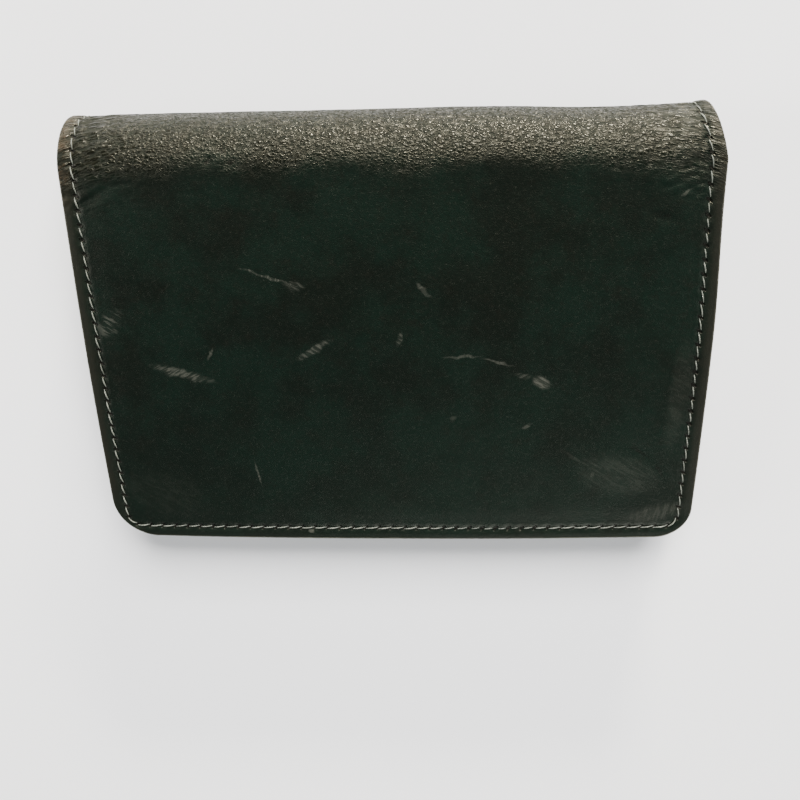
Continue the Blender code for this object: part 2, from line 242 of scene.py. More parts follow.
def seamPlace(x, e, seam, length):
    # Distance along the seam and from it, positive towards the rim: in a corner by the angle and the distance
    # about the corner's centre, elsewhere from whichever straight stretch is nearer.
    r, margin = seam["corner"], seam["margin"]
    lineX = seam["half"] - margin
    centreX, centreE = lineX - r, margin + r
    side = length - centreE
    ax = np.abs(x)
    inCorner = (ax > centreX) & (e < centreE)
    turn = np.arctan2(np.maximum(centreE - e, 0), np.maximum(ax - centreX, 1e-6))
    offset = np.where(inCorner, np.hypot(ax - centreX, centreE - e) - r, np.maximum(ax - lineX, margin - e))
    onSide = ax - lineX >= margin - e
    straight = np.where(onSide, length - e, side + r * np.pi / 2 + centreX - ax)
    along = np.where(inCorner, side + r * turn, straight)
    return np.where(x < 0, seamLength(seam, length) - along, along), offset


def seamPath(along, seam, length):  # the inverse: x, e and the direction towards the rim
    r, margin = seam["corner"], seam["margin"]
    lineX = seam["half"] - margin
    side = length - margin - r
    total = seamLength(seam, length)
    mirror = np.where(along > total / 2, -1, 1)
    a = np.where(along > total / 2, total - along, along)
    turn = np.clip((a - side) / r, 0, np.pi / 2)
    beyond = np.maximum(a - side - r * np.pi / 2, 0)
    x = lineX - r + r * np.cos(turn) - beyond
    e = np.maximum(length - a, margin + r) - r * np.sin(turn)
    return mirror * x, e, mirror * np.cos(turn), -np.sin(turn)


def stitchPitch(total, pitch):  # the nearest pitch that goes a whole number of times into the seam
    return total / round(total / pitch)


def makeStitches(name, place, path, total, stitch, depthAt):
    # One short thread for each stitch: a tube of rings whose middle line runs slantwise across the seam and
    # whose height and radius follow sin(pi t)^0.6, so that it is high in the middle and dives into its holes.
    pitch = stitchPitch(total, stitch["pitch"])
    count = round(total / pitch)
    rng = np.random.default_rng(stitch["seed"])
    rings, sides = 9, 8
    t = np.linspace(0, 1, rings)[None, :, None]
    around = np.linspace(0, 2 * np.pi, sides, endpoint=False)[None, None, :]
    number = np.arange(count)[:, None, None]
    vary = rng.uniform(-1, 1, (3, count, 1, 1))
    towardsRim = np.abs(path((number + 0.5) * pitch)[2])
    share = stitch["share"] - stitch["sideGap"] * towardsRim
    along = (number + 0.5 + (t - 0.5) * (share + 0.06 * vary[0])) * pitch
    x, e, nx, ne = path(along)
    swell = np.sin(np.pi * t) ** 0.6
    lateral = stitch["slant"] * (2 * t - 1) * (1 + 0.25 * vary[1]) + 0.05 * vary[2]
    height = stitch["side"] * (stitch["rise"] * swell - stitch["dive"] * (1 - swell))
    radius = stitch["radius"] * (0.4 + 0.6 * swell) * (1 + 0.15 * vary[2])
    side = lateral + radius * np.cos(around)
    depth = depthAt(x, e) - height - radius * np.sin(around)
    body = place(x + nx * side, e + ne * side, depth).reshape(-1, 3)
    poles = place(x + nx * lateral, e + ne * lateral, depthAt(x, e) - height)[:, [0, -1], 0].reshape(-1, 3)
    index = np.arange(count * rings * sides).reshape(count, rings, sides)
    wrapped = np.concatenate([index, index[:, :, :1]], 2)
    quads = np.stack([wrapped[:, :-1, :-1], wrapped[:, :-1, 1:], wrapped[:, 1:, 1:], wrapped[:, 1:, :-1]], -1)
    tips = index.size + np.repeat(2 * np.arange(count), sides)
    starts = np.stack([tips, wrapped[:, 0, 1:].ravel(), wrapped[:, 0, :-1].ravel()], -1)
    stops = np.stack([tips + 1, wrapped[:, -1, :-1].ravel(), wrapped[:, -1, 1:].ravel()], -1)
    caps = np.concatenate([starts, stops])
    return makeMesh(name, np.concatenate([body, poles]), quads.reshape(-1, 4), caps)


def add(tree, kind, inputs=None, **settings):  # a shader node; a given socket is linked, a given value is set
    made = tree.nodes.new("ShaderNode" + kind)
    for key, value in settings.items():
        setattr(made, key, value)
    for key, value in (inputs or {}).items():
        if isinstance(value, bpy.types.NodeSocket):
            tree.links.new(value, made.inputs[key])
        else:
            made.inputs[key].default_value = value
    return made


def calc(tree, operation, *values):  # any Math node
    return add(tree, "Math", dict(enumerate(values)), operation=operation).outputs[0]


def times(tree, first, second):  # first * second
    return calc(tree, "MULTIPLY", first, second)


def timesPlus(tree, first, second, third):  # first * second + third
    return calc(tree, "MULTIPLY_ADD", first, second, third)


def noise(tree, place, scale, detail, roughness=0.5):  # both outputs: "Fac" and "Color"
    inputs = {"Vector": place, "Scale": scale, "Detail": detail, "Roughness": roughness}
    return add(tree, "TexNoise", inputs).outputs


def fade(tree, value, low, high, start=0.0, stop=1.0):  # from start at low to stop at high, in an easy curve
    inputs = {"Value": value, "From Min": low, "From Max": high, "To Min": start, "To Max": stop}
    return add(tree, "MapRange", inputs, interpolation_type="SMOOTHSTEP").outputs[0]


def mixColour(tree, factor, first, second, blend="MIX"):
    made = add(tree, "Mix", {0: factor}, data_type="RGBA", blend_type=blend)
    for socket, value in ((made.inputs[6], first), (made.inputs[7], second)):
        if isinstance(value, bpy.types.NodeSocket):
            tree.links.new(value, socket)
        else:
            socket.default_value = (*value, 1)
    return made.outputs[2]


def newGroup(name, inputs, outputs):  # an input given as None is a vector, a tuple is a colour
    group = bpy.data.node_groups.new(name, "ShaderNodeTree")
    for key, value in inputs.items():
        kind = {type(None): "Vector", tuple: "Color", float: "Float"}[type(value)]
        socket = group.interface.new_socket(name=key, in_out="INPUT", socket_type="NodeSocket" + kind)
        if value is not None:
            socket.default_value = (*value, 1) if isinstance(value, tuple) else value
    for key, kind in outputs.items():
        group.interface.new_socket(name=key, in_out="OUTPUT", socket_type="NodeSocket" + kind)
    return group, group.nodes.new("NodeGroupInput").outputs, group.nodes.new("NodeGroupOutput").inputs


def useGroup(tree, group, inputs):
    made = tree.nodes.new("ShaderNodeGroup")
    made.node_tree = group
    for key, value in inputs.items():
        if isinstance(value, bpy.types.NodeSocket):
            tree.links.new(value, made.inputs[key])
        else:
            socket = made.inputs[key]
            socket.default_value = (*value, 1) if socket.type == "RGBA" else value
    return made.outputs


def buildGrain():  # pebbled hide: domed cells parted by fine uneven creases, with small pores on them
    group, given, out = newGroup(
        "hideGrain", {"Place": None, "Cell": 0.5, "Pore": 0.2}, {"Height": "Float", "Crease": "Float"}
    )
    scale = calc(group, "DIVIDE", 1.0, given["Cell"])
    bend = noise(group, given["Place"], 1.4, 2.0)
    bent = add(group, "VectorMath", {0: bend["Color"], 1: (-0.5, -0.5, -0.5)}, operation="ADD").outputs[0]
    bent = add(group, "VectorMath", {0: bent, "Scale": 0.8}, operation="SCALE").outputs[0]
    place = add(group, "VectorMath", {0: given["Place"], 1: bent}, operation="ADD").outputs[0]
    cell = {"Vector": place, "Scale": scale}
    gap = add(group, "TexVoronoi", cell, feature="DISTANCE_TO_EDGE").outputs["Distance"]
    dome = add(group, "TexVoronoi", cell).outputs["Distance"]
    uneven = fade(group, bend["Fac"], 0.35, 0.65, 0.35, 1.0)
    crease = times(group, fade(group, gap, 0.03, 0.24, 1.0, 0.0), uneven)
    swell = fade(group, dome, 0.0, 0.75, 0.45, 0.0)
    pores = noise(group, given["Place"], 6.5, 3.0, 0.65)["Fac"]
    fine = timesPlus(group, pores, given["Pore"], swell)
    group.links.new(calc(group, "SUBTRACT", fine, crease), out["Height"])
    group.links.new(crease, out["Crease"])
    return group


def buildMottle():  # uneven dye: clouds of three tones at three sizes
    group, given, out = newGroup(
        "hideMottle",
        {"Place": None, "Deep": (0.0, 0.0, 0.0), "Green": (0.0, 0.0, 0.0), "Brown": (0.0, 0.0, 0.0)},
        {"Colour": "Color"},
    )
    large = noise(group, given["Place"], 0.07, 4.0, 0.6)["Fac"]
    middle = noise(group, given["Place"], 0.45, 5.0, 0.7)["Fac"]
    small = noise(group, given["Place"], 2.6, 3.0, 0.7)["Fac"]
    cloud = fade(group, large, 0.38, 0.62)
    colour = mixColour(group, cloud, given["Deep"], given["Green"])
    colour = mixColour(group, fade(group, middle, 0.5, 0.72, 0.0, 0.45), colour, given["Brown"])
    speckle = fade(group, small, 0.3, 0.75, 0.82, 1.25)
    shade = add(group, "CombineColor", {0: speckle, 1: speckle, 2: speckle}).outputs[0]
    group.links.new(mixColour(group, 1.0, colour, shade, "MULTIPLY"), out["Colour"])
    return group


def buildStrokes():  # fine broken strokes in one direction: noise squeezed one way and drawn out the other
    group, given, out = newGroup("rubbedStrokes", {"Place": None, "Turn": None}, {"Lines": "Float"})
    inputs = {"Vector": given["Place"], "Rotation": given["Turn"], "Scale": (0.5, 3.4, 1.0)}
    turned = add(group, "Mapping", inputs, vector_type="TEXTURE").outputs[0]
    group.links.new(fade(group, noise(group, turned, 1.0, 2.0, 0.6)["Fac"], 0.47, 0.6), out["Lines"])
    return group


def buildOvalMark():  # adds one oval, broken up by strokes, to those before it: for rubbed marks, painted sheen and painted shade
    group, given, out = newGroup(
        "ovalMark",
        {"Before": 0.0, "Place": None, "Centre": None, "Turn": None, "Size": None,
         "Lines": 1.0, "Broken": 0.5, "Strength": 0.5},
        {"Mask": "Float"},
    )
    inputs = {"Vector": given["Place"], "Location": given["Centre"], "Rotation": given["Turn"]}
    inOval = add(group, "Mapping", {**inputs, "Scale": given["Size"]}, vector_type="TEXTURE").outputs[0]
    reach = add(group, "VectorMath", {0: inOval}, operation="LENGTH").outputs["Value"]
    oval = fade(group, reach, 0.4, 1.04, given["Strength"], 0.0)
    share = add(group, "Mix", {0: given["Broken"], 2: 1.0, 3: given["Lines"]}).outputs[0]
    group.links.new(timesPlus(group, oval, share, given["Before"]), out["Mask"])
    return group


def diagonal(tree, first, second):  # sqrt(first^2 + second^2)
    squares = calc(tree, "ADD", times(tree, first, first), times(tree, second, second))
    return calc(tree, "SQRT", squares)


def buildNeedle():  # slanted slits along a seam, from how far along (in stitches) and how far off it (in mm)
    group, given, out = newGroup(
        "needleSlit", {"Along": 0.0, "Offset": 0.0, "Pitch": 2.5}, {"Slit": "Float", "Pull": "Float"}
    )
    offset = given["Offset"]
    fromSlit = calc(group, "SUBTRACT", calc(group, "FRACT", calc(group, "ADD", given["Along"], 0.5)), 0.5)
    along = times(group, fromSlit, given["Pitch"])
    slant = calc(group, "ADD", along, times(group, offset, -0.45))
    inLength = calc(group, "DIVIDE", slant, 0.36)
    inWidth = calc(group, "DIVIDE", calc(group, "ADD", offset, 0.08), 0.55)
    group.links.new(fade(group, diagonal(group, inLength, inWidth), 0.55, 1.15, 1.0, 0.0), out["Slit"])
    group.links.new(fade(group, diagonal(group, along, offset), 0.2, 1.3, 1.0, 0.0), out["Pull"])
    return group


grainGroup, mottleGroup, needleGroup = buildGrain(), buildMottle(), buildNeedle()
strokesGroup, ovalMarkGroup = buildStrokes(), buildOvalMark()


def newMaterial(name):  # the material, its nodes, its shader's inputs and the place in millimetres
    material = bpy.data.materials.new(name)
    material.use_nodes = True
    tree = material.node_tree
    tree.nodes.clear()
    shader = add(tree, "BsdfPrincipled")
    tree.links.new(shader.outputs[0], add(tree, "OutputMaterial").inputs[0])
    place = add(tree, "TexCoord").outputs["Object"]
    inMillimetres = add(tree, "VectorMath", {0: place, "Scale": 1 / mm}, operation="SCALE").outputs[0]
    return material, tree, shader.inputs, inMillimetres


def bumpFrom(tree, height, shaderInputs):  # height in millimetres
    bump = add(tree, "Bump", {"Height": height, "Distance": mm, "Strength": 1.0})
    tree.links.new(bump.outputs[0], shaderInputs["Normal"])


outerHide = {
    "deep": (0.0004, 0.0024, 0.0016),
    "green": (0.0005, 0.0052, 0.0034),
    "brown": (0.0026, 0.0027, 0.0018),
    "paintedLowerSheen": (0.0026, 0.0078, 0.0056),  # painted sheen: the paler green towards the open edge, in place of the fill light's reflection there
    "border": (0.0080, 0.0084, 0.0062),
    "fold": (0.0085, 0.0074, 0.0044),
    "edge": (0.1300, 0.1260, 0.1020),
    "cornerWear": (0.0420, 0.0300, 0.0185),
    # the rubbed marks' pale grey, which on the front also paints sheen
    "scuffedAndSheen": (0.0500, 0.0510, 0.0420),
    # painted shade in the dents and the fold's cracks
    "dentShade": (0.0006, 0.0009, 0.0008),
    # painted shade in the needle slits
    "slitShade": (0.0008, 0.0010, 0.0009),
    "cell": 0.5,
    "stretch": 0.7,  # the fold's cells are longer across the case by one over this
    "foldStart": 64.0,  # the fold's heavy grain begins this far from the open edge
    "foldFull": 71.0,
}
strokeAngles = (58, -62, -12)  # the three ways the rubbed strokes run


def keptValue(tree, name):  # the three numbers of a value kept on the points
    kept = add(tree, "Attribute", attribute_name=name).outputs["Vector"]
    return add(tree, "SeparateXYZ", {0: kept}).outputs


def addMarks(tree, marks, ragged, lines):  # every oval in turn, added to those before it
    mask = 0.0
    for x, y, angle, long, wide, stroke, broken, strength in marks:
        mask = useGroup(tree, ovalMarkGroup, {
            "Before": mask, "Place": ragged, "Centre": (x, y, 0.0), "Turn": (0.0, 0.0, math.radians(angle)),
            "Size": (long / 2, wide / 2, 10000.0),  # as deep as the case is tall, and more
            "Lines": lines[stroke], "Broken": broken, "Strength": strength,
        })["Mask"]
    return mask


def outerLeather(name, scuffsAndSheen, darkMarks):
    # Each tone, painted sheen and painted shade is laid over those before it by its own mask, a product of
    # fades by the distance from the open edge, from the rim and across the case, and by a patchy noise. The
    # rubbed marks with their painted sheen, then the painted shade in the dents and in the slits, come last.
    material, tree, shader, place = newMaterial(name)
    across, fromOpen, rim = keptValue(tree, "grain")
    alongSeam, offSeam, _ = keptValue(tree, "seam")
    stretched = times(tree, across, outerHide["stretch"])
    surface = add(tree, "CombineXYZ", {0: stretched, 1: fromOpen}).outputs[0]
    drift = noise(tree, surface, 0.12, 3.0)["Fac"]
    drifted = timesPlus(tree, drift, 7.0, calc(tree, "SUBTRACT", fromOpen, 3.5))
    zone = fade(tree, drifted, outerHide["foldStart"], outerHide["foldFull"])
    pebble = useGroup(tree, grainGroup, {"Place": surface, "Cell": outerHide["cell"], "Pore": 0.06})
    fine = useGroup(tree, grainGroup, {"Place": place, "Cell": 0.34, "Pore": 0.5})
    dyes = {"Deep": outerHide["deep"], "Green": outerHide["green"], "Brown": outerHide["brown"]}
    mottle = useGroup(tree, mottleGroup, {"Place": place, **dyes})
    needle = useGroup(tree, needleGroup, {"Along": alongSeam, "Offset": offSeam, "Pitch": seam["pitch"]})

    patchy = noise(tree, place, 0.35, 6.0, 0.75)["Fac"]
    fromRim = timesPlus(tree, patchy, 2.4, calc(tree, "SUBTRACT", rim, 1.2))
    border = times(tree, fade(tree, fromRim, 0.4, 2.8, 1.0, 0.0), fade(tree, fromOpen, 2.0, 14.0, 0.25, 1.0))
    foldWear = times(tree, zone, fade(tree, patchy, 0.3, 0.7, 0.35, 1.0))
    foldWear = times(tree, foldWear, fade(tree, across, 46.5, 47.1, 1.0, 0.15))
    # painted sheen: the green grows paler towards the open edge, in place of the fill light's reflection on
    # the lower cover
    paintedLowerSheen = fade(tree, fromOpen, 4.0, 46.0, 0.3, 0.0)
    colour = mixColour(tree, paintedLowerSheen, mottle["Colour"], outerHide["paintedLowerSheen"])
    colour = mixColour(tree, border, colour, outerHide["border"])
    colour = mixColour(tree, foldWear, colour, outerHide["fold"])
    endWear = times(tree, fade(tree, fromRim, 0.3, 3.0, 1.0, 0.0), fade(tree, fromOpen, 62.0, 74.0))
    endWear = times(tree, endWear, fade(tree, across, -10.0, 10.0, 1.0, 0.2))
    endWear = times(tree, endWear, fade(tree, patchy, 0.4, 0.56))
    colour = mixColour(tree, endWear, colour, outerHide["cornerWear"])
    cutEdge = times(tree, fade(tree, rim, 0.12, 0.46, 1.0, 0.0), fade(tree, patchy, 0.3, 0.55, 0.2, 1.0))
    cutEdge = times(tree, cutEdge, fade(tree, fromOpen, 0.5, 4.0, 1.0, 0.3))
    colour = mixColour(tree, cutEdge, colour, outerHide["edge"])
    foldCrease = times(tree, pebble["Crease"], zone)
    # painted shade in the grain's creases, strongest in the fold, lighter in the fine grain
    colour = mixColour(tree, times(tree, foldCrease, 0.95), colour, outerHide["deep"])
    colour = mixColour(tree, times(tree, fine["Crease"], 0.3), colour, outerHide["deep"])

    waver = noise(tree, place, 0.55, 2.0)["Color"]
    waver = add(tree, "VectorMath", {0: waver, 1: (-0.5, -0.5, -0.5)}, operation="ADD").outputs[0]
    moved = {0: waver, 1: (1.3, 1.3, 0.0), 2: place}
    ragged = add(tree, "VectorMath", moved, operation="MULTIPLY_ADD").outputs[0]
    lines = [
        useGroup(tree, strokesGroup, {"Place": place, "Turn": (0.0, 0.0, math.radians(angle))})["Lines"]
        for angle in strokeAngles
    ]
    # rubbed marks, and on the front two ovals of painted sheen
    rubbedAndSheen = calc(tree, "MINIMUM", addMarks(tree, scuffsAndSheen, ragged, lines), 1.0)
    # painted shade in the dents and the fold's cracks
    dentShade = addMarks(tree, darkMarks, ragged, lines)
    colour = mixColour(tree, rubbedAndSheen, colour, outerHide["scuffedAndSheen"])
    colour = mixColour(tree, dentShade, colour, outerHide["dentShade"])
    # painted shade in the needle slits
    colour = mixColour(tree, times(tree, needle["Slit"], 0.95), colour, outerHide["slitShade"])
    tree.links.new(colour, shader["Base Color"])

    rough = timesPlus(tree, patchy, 0.12, 0.38)
    rough = timesPlus(tree, zone, -0.27, rough)
    rough = timesPlus(tree, foldCrease, 0.65, rough)
    facing = add(tree, "LayerWeight", {"Blend": 0.3}).outputs["Facing"]
    rough = timesPlus(tree, calc(tree, "POWER", facing, 2.0), 0.45, rough)
    tree.links.new(timesPlus(tree, rubbedAndSheen, 0.15, rough), shader["Roughness"])
    shader["Specular IOR Level"].default_value = 0.22
    shader["Specular Tint"].default_value = (1.0, 0.94, 0.74, 1)

    high = times(tree, pebble["Height"], times(tree, zone, 0.125))
    high = timesPlus(tree, fine["Height"], 0.012, high)
    high = timesPlus(tree, needle["Slit"], -0.3, high)
    high = timesPlus(tree, needle["Pull"], -0.05, high)
    bumpFrom(tree, high, shader)
    return material


def plainLeather(name, tone, cell=0.5, pebble=0.045):  # one tone and its multiples, with a fine grain whose creases get painted shade
    material, tree, shader, place = newMaterial(name)
    fine = useGroup(tree, grainGroup, {"Place": place, "Cell": cell, "Pore": 0.5})
    dark, light, lightest = (tuple(share * part for part in tone) for share in (0.5, 1.35, 1.7))
    mottle = useGroup(tree, mottleGroup, {"Place": place, "Deep": tone, "Green": light, "Brown": lightest})
    # painted shade in the grain's creases
    colour = mixColour(tree, times(tree, fine["Crease"], 0.35), mottle["Colour"], dark)
    tree.links.new(colour, shader["Base Color"])
    patchy = noise(tree, place, 0.3, 5.0, 0.7)["Fac"]
    tree.links.new(fade(tree, patchy, 0.3, 0.7, 0.47, 0.58), shader["Roughness"])
    shader["Specular IOR Level"].default_value = 0.16
    bumpFrom(tree, times(tree, fine["Height"], pebble), shader)
    return material


def threadMaterial():  # light fibres over dark ones, soiled in large patches
    material, tree, shader, place = newMaterial("waxedThread")
    fibres = noise(tree, place, 5.0, 4.0, 0.7)["Fac"]
    soil = noise(tree, place, 0.11, 3.0)["Fac"]
    colour = mixColour(tree, fade(tree, fibres, 0.35, 0.7), (0.050, 0.055, 0.045), (0.225, 0.235, 0.195))
    colour = mixColour(tree, fade(tree, soil, 0.48, 0.66, 0.0, 0.6), colour, (0.040, 0.043, 0.034))
    tree.links.new(colour, shader["Base Color"])
    shader["Roughness"].default_value = 0.7
    bumpFrom(tree, times(tree, fibres, 0.06), shader)
    return material


def boardMaterial():  # two tones of grey by one noise, which also gives the bump
    material, tree, shader, place = newMaterial("greyBoard")
    fibres = noise(tree, place, 1.8, 6.0, 0.75)["Fac"]
    tree.links.new(mixColour(tree, fibres, (0.2, 0.17, 0.13), (0.42, 0.36, 0.28)), shader["Base Color"])
    shader["Roughness"].default_value = 0.9
    bumpFrom(tree, times(tree, fibres, 0.03), shader)
    return material


# Rubbed marks, and on the front two ovals of painted sheen, in millimetres and degrees: x, y, angle, length,
# width, which strokes, how broken, strength
frontScuffsAndSheen = [
    (-50.0, 4.2, 48, 7.5, 4.2, 0, 0.95, 0.55),
    (-38.0, -5.2, -15, 13.5, 2.2, 1, 0.8, 0.6),
    (-13.7, -0.8, 32, 8.6, 1.7, 0, 0.8, 0.6),
    (-21.0, 12.2, -19, 12.5, 0.5, 2, 0.7, 0.7),
    (-16.8, 10.6, -12, 4.6, 2.0, 0, 0.8, 0.4),
    (5.6, 9.6, -43, 4.2, 1.0, 1, 0.5, 0.5),
    (1.3, 0.8, 66, 3.6, 1.2, 0, 0.8, 0.5),
    (12.2, -2.4, 2, 7.5, 0.6, 2, 0.4, 0.45),
    (18.4, -3.4, -14, 6.5, 0.6, 2, 0.4, 0.5),
    (26.3, -7.3, -18, 3.9, 2.6, 0, 0.7, 0.8),
    (22.9, -6.0, -15, 4.0, 1.4, 1, 0.8, 0.35),
    (24.0, -15.6, 30, 3.0, 1.0, 0, 0.8, 0.4),
    (10.6, -14.0, 5, 1.6, 0.8, 2, 0.5, 0.4),
    (33.0, -22.2, -33, 7.0, 0.7, 2, 0.6, 0.22),
    (40.8, -25.6, -10, 18.0, 10.5, 0, 0.6, 0.17),
    (36.2, -25.6, 80, 2.0, 0.7, 0, 0.5, 0.35),
    (48.4, 25.2, 35, 2.0, 0.6, 0, 0.3, 0.5),
    (-26.0, -25.3, 99, 5.6, 0.4, 1, 0.4, 0.5),
    (-32.6, -1.5, 66, 2.9, 0.7, 0, 0.5, 0.5),
    (-16.7, -37.6, 0, 1.3, 1.3, 2, 0.2, 0.6),
    (23.5, -37.2, 80, 1.2, 0.6, 0, 0.3, 0.4),
    # painted sheen beside the seam at the lower right corner
    (48.5, -33.6, 14, 14.0, 4.5, 2, 0.6, 0.28),
    # painted sheen: a faint haze over the lower left
    (-44.0, -30.0, -20, 20.0, 12.0, 0, 0.7, 0.06),
    (50.5, -10.0, 87, 26.0, 4.5, 0, 0.6, 0.12),
]
backScuffs = [
    (22.0, 6.0, 18, 15.0, 4.0, 0, 0.9, 0.4),
    (-27.0, -12.0, -34, 11.0, 2.4, 1, 0.85, 0.45),
    (-36.0, 18.0, 12, 14.0, 0.5, 2, 0.6, 0.5),
    (5.0, -24.0, -8, 20.0, 9.0, 2, 0.7, 0.16),
    (40.0, -20.0, 60, 9.0, 0.6, 0, 0.6, 0.5),
    (-8.0, 20.0, 75, 5.0, 1.0, 1, 0.7, 0.4),
]
# Dark ovals, in the same columns: painted shade in the front's dents and fold cracks, and along the rubbed
# patch's outline on the right
frontDarkMarks = [
    (45.0, 21.6, -20, 4.6, 2.0, 1, 0.6, 0.75),
    (-29.4, 31.6, 35, 2.2, 1.1, 0, 0.5, 0.9),
    (-27.2, 33.4, -30, 2.6, 1.0, 1, 0.5, 0.9),
    (-25.8, 31.2, 10, 1.8, 0.9, 2, 0.5, 0.8),
    (44.6, -20.8, -28, 6.0, 0.9, 2, 0.4, 0.6),
    (48.4, -24.6, -62, 4.5, 0.9, 1, 0.4, 0.55),
    (31.5, -21.3, -35, 4.0, 1.4, 2, 0.6, 0.4),
]
frontHide = outerLeather("frontHide", frontScuffsAndSheen, frontDarkMarks)
# the back's one dark oval is painted shade in its dent
backHide = outerLeather("backHide", backScuffs, [(-18.0, 4.0, 15, 5.0, 1.6, 1, 0.6, 0.6)])
innerHide = plainLeather("innerHide", (0.0032, 0.0050, 0.0040))
liningHide = plainLeather("liningHide", (0.0042, 0.0052, 0.0042), cell=0.36, pebble=0.03)
waxedThread = threadMaterial()
greyBoard = boardMaterial()
print("materials made")


def dress(piece, material):  # gives the piece this one material
    piece.data.materials.clear()
    piece.data.materials.append(material)


# Grain runs in cells that stretch and tilt towards the fold's ends, where the seam gathers the hide. The place
# across is the sum of a stretch that falls from 1 to 0.3 over the last 18 mm.
def grainPlace(x, e):
    side = np.linspace(0, halfWidth + 1, 200)
    stretch = 0.3 + 0.7 * smooth(halfWidth - side, 3, 18)
    u = np.sign(x) * np.interp(np.abs(x), side, np.cumsum(stretch) * (side[1] - side[0]))
    inFromSide = halfWidth - np.abs(x)
    tilt = 4.0 * (1 - np.exp(-inFromSide / 8))
    return u, e - tilt * smooth(e, 40, 64)


def coverMarks(length):  # what the outer leather's material reads: grain place and rim, seam place
    pitch = stitchPitch(seamLength(seam, length), seam["pitch"])

    def marks(x, e, rim):
        u, v = grainPlace(x, e)
        along, offset = seamPlace(x, e, seam, length)
        return {"grain": np.stack([u, v, rim], -1), "seam": np.stack([along / pitch, offset, 0 * rim], -1)}

    return marks


def seamGroove(x, e, length):  # a bell across the seam, deeper by a cosine at each hole
    along, offset = seamPlace(x, e, seam, length)
    pitch = stitchPitch(seamLength(seam, length), seam["pitch"])
    holes = np.cos(2 * np.pi * along / pitch)
    return (0.17 + 0.07 * holes) * np.exp(-((offset / 0.55) ** 2)), offset


def dentDepth(x, e, dents):  # soft oval hollows: x, distance from the open edge, angle, length, width, depth
    total = 0 * x
    for dentX, dentE, angle, dentLength, width, depth in dents:
        c, s = math.cos(math.radians(angle)), math.sin(math.radians(angle))
        along, across = (x - dentX) * c + (e - dentE) * s, (e - dentE) * c - (x - dentX) * s
        total = total + depth * np.exp(-((2 * along / dentLength) ** 2) - (2 * across / width) ** 2)
    return total


def sideWrinkles(x, e, seed):  # long shallow wrinkles that run in from the side seams, rising to the right
    turn = math.radians(22)
    along, across = x * math.cos(turn) + e * math.sin(turn), e * math.cos(turn) - x * math.sin(turn)
    lines = (1 - np.abs(latticeNoise(along / 5.5 + 60, across / 1.5 + 30, seed + 3))) ** 4
    inFromSide = halfWidth - np.abs(x)
    near = smooth(inFromSide, 2.4, 4.0) * (1 - smooth(inFromSide, 5.5, 11))
    return 0.18 * lines * near * smooth(e, 62, 67)


def backLift(e):  # the back's outer side lies a little higher up to the fold
    return cover["backLift"] * (1 - smooth(e, backLength + 1, backLength + 6))


def coverRelief(length, seed, dents, lift=None):  # depth in millimetres, positive inwards
    def relief(x, e):
        groove, offset = seamGroove(x, e, length)
        puff = 0.16 * smooth(-offset, 0.5, 4.5) + 0.04 * np.exp(-(((offset - 1.2) / 0.6) ** 2))
        waves = 0.10 * latticeNoise(x / 19 + 9, e / 15, seed)
        waves = waves + 0.03 * latticeNoise(x / 5 + 30, e / 5, seed + 1)
        u, v = grainPlace(x, e)
        gathers = smooth(e, 61, 69) * (1 - 0.85 * smooth(halfWidth - np.abs(x), 5, 18))
        creases = 0.2 * (1 - np.abs(latticeNoise(u * 0.9 + 40, v * 1.2, seed + 2))) ** 3
        total = groove - puff - waves + gathers * creases + sideWrinkles(x, e, seed) + dentDepth(x, e, dents)
        return total + (lift(e) if lift else 0)
    return relief


coverSheet = {
    "half": halfWidth, "corner": cover["corner"], "top": 0.0, "bottom": cover["leather"], "edgeRound": 0.42,
    "acrossSteps": (0.26, 4.6, 0.72),
}
frontDents = [
    (45.0, 61.2, -20, 4.5, 1.6, 0.1),
    (-29.4, 71.6, 35, 2.4, 1.3, 0.22),
    (-27.2, 73.2, -30, 2.8, 1.2, 0.22),
    (-25.8, 71.0, 10, 2.0, 1.2, 0.2),
    (44.6, 18.6, -28, 6.5, 1.6, 0.1),
    (48.4, 15.0, -62, 5.5, 1.6, 0.1),
]
frontLeather = makeSheet(
    "frontHideSheet", frontPlace,
    {**coverSheet, "length": frontHalf, "alongSteps": (0.26, 4.6, 0.8, 26.0, 0.3)},
    coverRelief(frontHalf, 5, frontDents), marks=coverMarks(frontHalf),
)
backLeather = makeSheet(
    "backHideSheet", backPlace,
    {**coverSheet, "length": backHalf, "alongSteps": (0.26, 4.6, 0.8, 26.0, 0.4)},
    coverRelief(backHalf, 15, [(-18.0, 44.0, 15, 6.0, 2.6, 0.15)], backLift), marks=coverMarks(backHalf),
)
foldMiddle = Vector(coverPlace(0.0, backHalf, 0.0)) * mm
foldFront = Vector(coverPlace(0.0, backLength + foldLength, 0.0)) * mm
foldBack = Vector(coverPlace(0.0, backLength, 0.0)) * mm


def foldFrontHalf(piece, *nodes):  # bakes the piece's place into its points and hides the parts that it replaces
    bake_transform(piece)
    if nodes:
        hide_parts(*nodes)


def foldBackHalf(piece, *nodes):  # bakes the piece's place into its points and hides the parts that it replaces
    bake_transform(piece)
    if nodes:
        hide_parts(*nodes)


dress(frontLeather, frontHide)
dress(backLeather, backHide)
foldFrontHalf(frontLeather, "front_cover_leather", "spine_leather")
foldBackHalf(backLeather, "back_cover_leather")
print("outer hide made")


def insetCorners(inset):  # the cover's corner radii, less by the inset
    return tuple(radius - inset for radius in cover["corner"])


liningInset = cover["liningInset"]
liningSheet = {
    "half": halfWidth - liningInset, "corner": insetCorners(liningInset), "acrossSteps": (0.7, 6.0, 2.0),
    "top": cover["liningTop"], "bottom": cover["liningBottom"], "edgeRound": 0.3,
}


def liningRelief(x, e):  # the lining's outer side drops below the stiffener board
    return cover["liningDip"] * smooth(np.minimum(halfWidth - np.abs(x), e), 2.4, 3.8)


